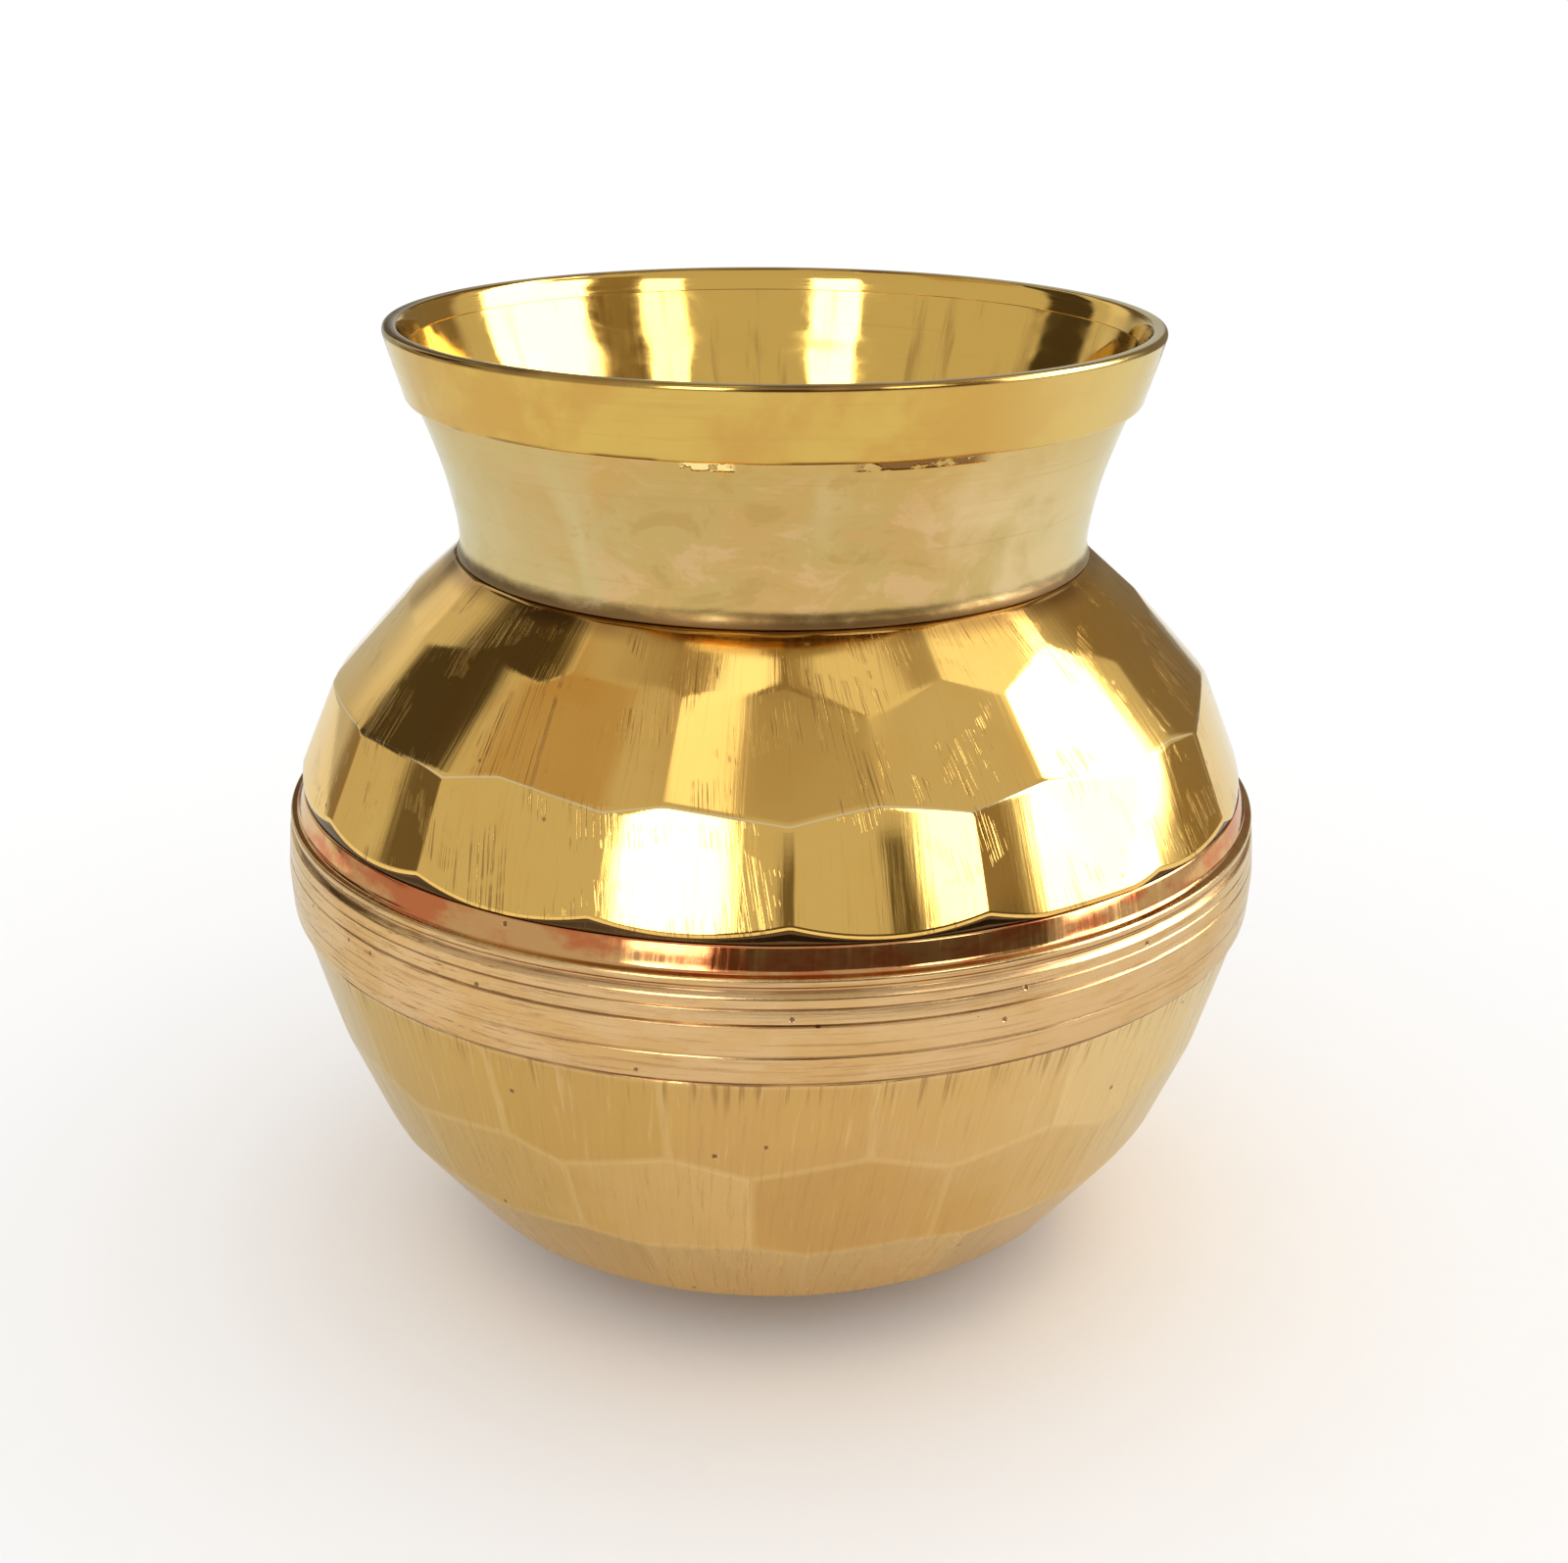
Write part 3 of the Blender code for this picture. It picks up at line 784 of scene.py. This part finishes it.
def neck_material():
    """Satin neck: pinkish blotches over faint turning marks outside, brighter
    and streaked inside; painted light paler on its right side, greener on its
    left, and painted shade at its foot."""
    n = Nodes("turned_brass_neck")
    mm, x, y, z, unit = coordinates(n)
    zone = n.attribute("zone")
    inside = n.smooth(zone, 5.2, 5.8)
    cloud = n.noise(mm, 0.11, 5.0, 0.62, 0.4)
    blot = n.noise(stretched(n, mm, 0.16, 0.26), 1.0, 5.0, 0.66, 0.6)
    turned_ = n.noise(stretched(n, mm, 0.05, 3.0), 1.0, 4.0, 0.6)
    wide = n.noise(stretched(n, mm, 0.055, 0.025), 1.0, 3.0, 0.6, 0.5)
    base = n.mix(n.smooth(cloud, 0.40, 0.60), (0.560, 0.400, 0.140),
                 (0.590, 0.375, 0.130))
    base = n.mix(n.math("MULTIPLY", n.smooth(wide, 0.52, 0.64), 0.8), base,
                 (0.640, 0.520, 0.255))
    base = n.mix(n.math("MULTIPLY", n.smooth(blot, 0.51, 0.62), 0.70), base,
                 (0.690, 0.455, 0.215))
    base = n.mix(n.math("MULTIPLY", n.smooth(blot, 0.45, 0.33), 0.7), base,
                 (0.500, 0.320, 0.100))
    # painted light: paler on the right side, greener on the left, as reflections there
    side_sheen = n.math("ADD", x, n.math("MULTIPLY", n.math("SUBTRACT", cloud, 0.5), 30.0))
    base = n.mix(n.smooth(side_sheen, 14.0, 27.0, 0.0, 0.75), base, (0.760, 0.600, 0.310))
    base = n.mix(n.smooth(side_sheen, -12.0, -25.0, 0.0, 0.65), base,
                 (0.575, 0.455, 0.205))
    high = n.smooth(z, 85.0, 93.0)
    base = n.mix(n.math("MULTIPLY", high, 0.45), base, (0.60, 0.390, 0.110))
    base = n.mix(n.math("MULTIPLY", n.smooth(turned_, 0.56, 0.70), 0.22), base,
                 (0.48, 0.29, 0.11))
    stain = n.noise(brushed(n, unit, z, 9.0, 0.03), 1.0, 4.0, 0.65)
    bright = n.mix(n.math("MULTIPLY", n.smooth(stain, 0.52, 0.66), 0.55),
                   (0.820, 0.515, 0.120), (0.42, 0.22, 0.055))
    bright = n.mix(n.math("MULTIPLY", n.smooth(turned_, 0.60, 0.74), 0.20),
                   bright, (0.50, 0.28, 0.08))
    color = n.mix(inside, base, bright)
    # painted shade: dark round the neck's foot, where it stands on the shoulder
    root = n.smooth(n.math("ADD", z, n.math("MULTIPLY", blot, 2.4)), 79.6, 78.2)
    root = n.math("MULTIPLY", root, n.math("SUBTRACT", 1.0, inside))
    color = n.mix(n.math("MULTIPLY", root, 0.88), color, (0.150, 0.075, 0.026))
    # solder: a dark run and a bright bead under the hoop, at the front
    under = n.math("MULTIPLY", n.smooth(z, 91.75, 91.95), n.smooth(y, -20.0, -25.0))
    uneven = n.noise(stretched(n, mm, 0.5, 0.9), 1.0, 3.0, 0.6)
    run = n.math("MULTIPLY", n.smooth(x, 6.5, 8.5), n.smooth(x, 20.0, 17.5))
    run = n.math("MULTIPLY", n.math("MULTIPLY", run, under),
                 n.smooth(uneven, 0.36, 0.50))
    bead = n.math("MULTIPLY", n.smooth(x, -8.4, -7.8), n.smooth(x, -3.2, -3.8))
    bead = n.math("MULTIPLY", n.math("MULTIPLY", bead, under),
                  n.smooth(uneven, 0.40, 0.46))
    color = n.mix(n.math("MULTIPLY", run, 0.85), color, (0.16, 0.07, 0.02))
    color = n.mix(bead, color, (0.98, 0.80, 0.34))
    rough = n.smooth(blot, 0.35, 0.70, 0.15, 0.25)
    rough = n.math("SUBTRACT", rough, n.math("MULTIPLY", inside, 0.11))
    rough = n.math("ADD", rough, n.math("MULTIPLY", root, 0.22))
    outside = n.math("SUBTRACT", 1.0, n.math("MULTIPLY", inside, 0.92))
    normal = bump(n, n.math("MULTIPLY", turned_, outside), 0.005)
    normal = bump(n, n.math("MULTIPLY", blot, outside), 0.035, 1.0, normal)
    normal = bump(n, n.math("ADD", bead, run), 0.12, 1.0, normal)
    return finish_brass(n, color, rough, normal)


def rim_material():
    """Polished hoop: yellow brass with light turning marks, dark solder in
    short lengths under its lower edge, painted shade along the top of the lip
    and painted light towards its right side."""
    n = Nodes("polished_brass_rim")
    mm, x, y, z, unit = coordinates(n)
    cloud = n.noise(mm, 0.10, 4.0, 0.6, 0.3)
    turned_ = n.noise(stretched(n, mm, 0.06, 3.0), 1.0, 4.0, 0.6)
    base = n.mix(n.smooth(cloud, 0.38, 0.62), (0.660, 0.440, 0.105),
                 (0.610, 0.360, 0.085))
    base = n.mix(n.math("MULTIPLY", n.smooth(turned_, 0.55, 0.70), 0.30), base,
                 (0.55, 0.32, 0.09))
    low = n.smooth(z, 93.15, 92.90)
    part = n.smooth(n.noise(stretched(n, mm, 0.08, 0.1), 1.0, 2.0, 0.5),
                    0.47, 0.56)
    base = n.mix(n.math("MULTIPLY", low, n.math("MULTIPLY", part, 0.85)), base,
                 (0.22, 0.11, 0.03))
    # painted shade: darker along the top of the lip, in patches
    lip_shade = n.smooth(z, 99.25, 99.65)
    spot = n.smooth(n.noise(stretched(n, mm, 0.07, 0.1), 1.0, 3.0, 0.6),
                    0.46, 0.62)
    base = n.mix(n.math("MULTIPLY", lip_shade,
                        n.math("ADD", 0.55, n.math("MULTIPLY", spot, 0.4))), base,
                 (0.28, 0.15, 0.045))
    mouth = n.smooth(n.attribute("zone"), 5.0, 5.8)
    # painted light: paler towards the right side
    base = n.mix(n.smooth(x, 16.0, 30.0, 0.0, 0.6), base, (0.760, 0.560, 0.200))
    base = n.mix(mouth, base, (0.820, 0.515, 0.120))
    rough = n.smooth(turned_, 0.3, 0.7, 0.10, 0.20)
    rough = n.math("SUBTRACT", rough, n.math("MULTIPLY", mouth, 0.08))
    outside = n.math("SUBTRACT", 1.0, mouth)
    normal = bump(n, n.math("MULTIPLY", turned_, outside), 0.006)
    normal = bump(n, n.math("MULTIPLY", cloud, outside), 0.05, 1.0, normal)
    return finish_brass(n, base, rough, normal)


def braze_material(name, node):
    """Brazing alloy: dull, lumpy and scorched."""
    n = Nodes(name)
    mm, x, y, z, unit = coordinates(n)
    lumps = n.noise(mm, 0.9, 4.0, 0.6)
    scorch = n.noise(mm, 0.25, 3.0, 0.6)
    color = n.mix(n.smooth(scorch, 0.40, 0.62), (0.55, 0.38, 0.18),
                  (0.28, 0.17, 0.08))
    rough = n.smooth(lumps, 0.3, 0.7, 0.35, 0.60)
    material = finish_brass(n, color, rough, bump(n, lumps, 0.12))
    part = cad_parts[node]
    part.data.materials.clear() if not part.material_slots else None
    if part.material_slots:
        for slot in part.material_slots:
            slot.material = material
    else:
        part.data.materials.append(material)


shoulder.data.materials.append(shell_material())
bowl.data.materials.append(bowl_material())
neck.data.materials.append(neck_material())
rim.data.materials.append(rim_material())
braze_material("scorched_braze_neck", "neck_braze")
braze_material("scorched_braze_belly", "belly_braze")


# --------------------------------------------------------------------- camera
def place_camera():
    data = bpy.data.cameras.new("camera")
    camera = bpy.data.objects.new("camera", data)
    bpy.context.scene.collection.objects.link(camera)
    data.sensor_width = 36.0
    data.lens = 50.48
    data.shift_x = 0.0081
    data.shift_y = 0.01075
    data.clip_start = 0.01
    data.clip_end = 50.0
    look = Euler((math.radians(90.0 - 20.755), 0.0, 0.0)).to_matrix()
    roll = Matrix.Rotation(math.radians(0.417), 3, "Z")
    camera.matrix_world = (Matrix.Translation((0.0, -0.2256, 0.13325))
                           @ (look @ roll).to_4x4())
    bpy.context.scene.camera = camera


place_camera()


# ------------------------------------------------------------ floor and studio
WHITE = 0.93          # how pale the floor and the backdrop are
FILL = 1.10           # the even light on them
FLOOR_R = 0.50


def make_floor():
    """A plain round pale floor, as bright as the backdrop behind it. It is cut
    away under the pot's base, where nothing shows from above."""
    n = 96
    verts, faces = [], []
    radii = (0.0205, 0.03, 0.08, 0.15, 0.25, FLOOR_R)
    for r in radii:
        for i in range(n):
            a = math.tau * i / n
            verts.append((r * math.cos(a), r * math.sin(a), -0.0002))
    for k in range(len(radii) - 1):
        for i in range(n):
            j = (i + 1) % n
            faces.append((k * n + i, (k + 1) * n + i, (k + 1) * n + j, k * n + j))
    mesh = bpy.data.meshes.new("floor")
    mesh.from_pydata(verts, [], faces)
    floor = bpy.data.objects.new("floor", mesh)
    bpy.context.scene.collection.objects.link(floor)
    n = Nodes("pale_floor")
    n.shader.inputs["Base Color"].default_value = (WHITE, WHITE, WHITE, 1.0)
    n.shader.inputs["Roughness"].default_value = 1.0
    n.shader.inputs["Specular IOR Level"].default_value = 0.0
    # clear from below, so that the base can be looked at
    below = n.new("ShaderNodeNewGeometry").outputs["Backfacing"]
    mixed = n.new("ShaderNodeMixShader")
    n.link(below, mixed.inputs[0])
    n.link(n.shader.outputs[0], mixed.inputs[1])
    n.link(n.new("ShaderNodeBsdfTransparent").outputs[0], mixed.inputs[2])
    n.link(mixed.outputs[0], n.tree.nodes["Material Output"].inputs[0])
    floor.data.materials.append(n.material)


make_floor()

# Plain soft light: a grey room with a warmer ceiling, white soft boxes and
# brown felt flags. Each is left, right (azimuth), low, high (elevation),
# brightness, softness of its edges in degrees.
SOFT_BOXES = (
    (-31, -14, 8, 34, 7.5, 1.4),        # tall one, front left
    (-44, -12, 60, 82, 1.5, 2.0),       # its dimmer upper light
    (33, 49, 16, 34, 5.0, 1.0),         # narrow one, front right
    (48, 76, 60, 78, 0.85, 2.0),        # and its upper light
    (70, 113, 3, 34, 7.5, 1.4),         # big one on the right, its lower half
    (93, 115, 20, 44, 8.0, 1.6),        # and its upper half
    (88, 122, 44, 58, 1.3, 3.0),        # light spilling over its top
    (-148, -136, 8, 48, 0.9, 3.0),      # dim one behind
)
FLAGS = (
    (-127, -105, 7, 51, 0.07, 1.6),     # big flag on the left
    (-103, -91, 1, 16, 0.16, 1.6),
    (-134, -117, -9, 3, 0.30, 2.0),
    (-5, 12, 12, 24, 0.17, 1.2),        # narrow flags at the front
    (27.5, 31, 8, 23, 0.12, 0.8),
    (51, 67, 8, 38, 0.30, 1.4),
    (111, 127, -4, 4, 0.30, 1.6),
    (-14, 66, -4, 13, 0.12, 2.0),       # two low ones at the front
    (-12, 50, -4, 16, 0.12, 1.4),
    (-10, 24, 68, 86, 0.28, 2.0),       # overhead
    (-172, -150, 5, 44, 0.16, 4.0),
    (-100, -62, 36, 58, 0.52, 3.0),     # hanging on the left
    (128, 166, -14, 46, 0.26, 3.0),     # and on the far right
)
ROOM_LOW, ROOM_MID, ROOM_TOP = 0.65, 0.62, 0.38
FLAG_TINT = (1.0, 0.82, 0.62)         # brown felt
CEILING_TINT = (1.0, 0.84, 0.68)


class Studio(Nodes):
    """The same short calls, on the world's node tree."""

    def __init__(self, world):
        world.use_nodes = True
        self.tree = world.node_tree
        self.tree.nodes.clear()


def room(n, direction):
    """Light of the room in each direction, as a colour."""
    split = n.new("ShaderNodeSeparateXYZ")
    n.link(direction, split.inputs[0])
    x, y, z = split.outputs
    degrees = 180.0 / math.pi
    elevation = n.math("MULTIPLY", n.math("ARCSINE", z), degrees)
    turn = n.math("ARCTAN2", x, n.math("MULTIPLY", y, -1.0))
    turn = n.math("MULTIPLY", turn, degrees)
    # hangings and boxes never stand quite straight
    sway = n.noise(direction, 4.0, 2.0, 0.5)
    turn = n.math("ADD", turn, n.math("MULTIPLY", n.math("SUBTRACT", sway, 0.5), 5.0))
    gray = lambda level: (level, level, level)
    color = n.mix(n.smooth(elevation, 22.0, 50.0), gray(ROOM_LOW), gray(ROOM_MID))
    color = n.mix(n.smooth(elevation, 55.0, 72.0), color,
                  tuple(ROOM_TOP * t for t in CEILING_TINT))

    def inside(left, right, low, high, edge):
        m = n.math("MULTIPLY", n.smooth(turn, left - edge, left + edge),
                   n.smooth(turn, right + edge, right - edge))
        m = n.math("MULTIPLY", m, n.smooth(elevation, low - edge, low + edge))
        return n.math("MULTIPLY", m, n.smooth(elevation, high + edge, high - edge))

    for left, right, low, high, level, edge in FLAGS:
        felt = tuple(level * t for t in FLAG_TINT)
        color = n.mix(inside(left, right, low, high, edge), color, felt)
    for left, right, low, high, level, edge in SOFT_BOXES:
        color = n.mix(inside(left, right, low, high, edge), color, gray(level))
    return color


def make_studio():
    world = bpy.data.worlds.new("studio")
    bpy.context.scene.world = world
    n = Studio(world)
    direction = n.new("ShaderNodeTexCoord").outputs["Generated"]
    glow = n.new("ShaderNodeBackground")
    n.link(room(n, direction), glow.inputs[0])
    plain = n.new("ShaderNodeBackground")
    plain.inputs[0].default_value = (1.0, 1.0, 1.0, 1.0)
    plain.inputs[1].default_value = FILL
    drop = n.new("ShaderNodeBackground")
    drop.inputs[0].default_value = (1.0, 1.0, 1.0, 1.0)
    drop.inputs[1].default_value = FILL * WHITE
    path = n.new("ShaderNodeLightPath")
    first = n.new("ShaderNodeMixShader")
    n.link(path.outputs["Is Glossy Ray"], first.inputs[0])
    n.link(plain.outputs[0], first.inputs[1])
    n.link(glow.outputs[0], first.inputs[2])
    second = n.new("ShaderNodeMixShader")
    n.link(path.outputs["Is Camera Ray"], second.inputs[0])
    n.link(first.outputs[0], second.inputs[1])
    n.link(drop.outputs[0], second.inputs[2])
    out = n.new("ShaderNodeOutputWorld")
    n.link(second.outputs[0], out.inputs[0])


make_studio()

bpy.context.scene.view_settings.view_transform = "Standard"
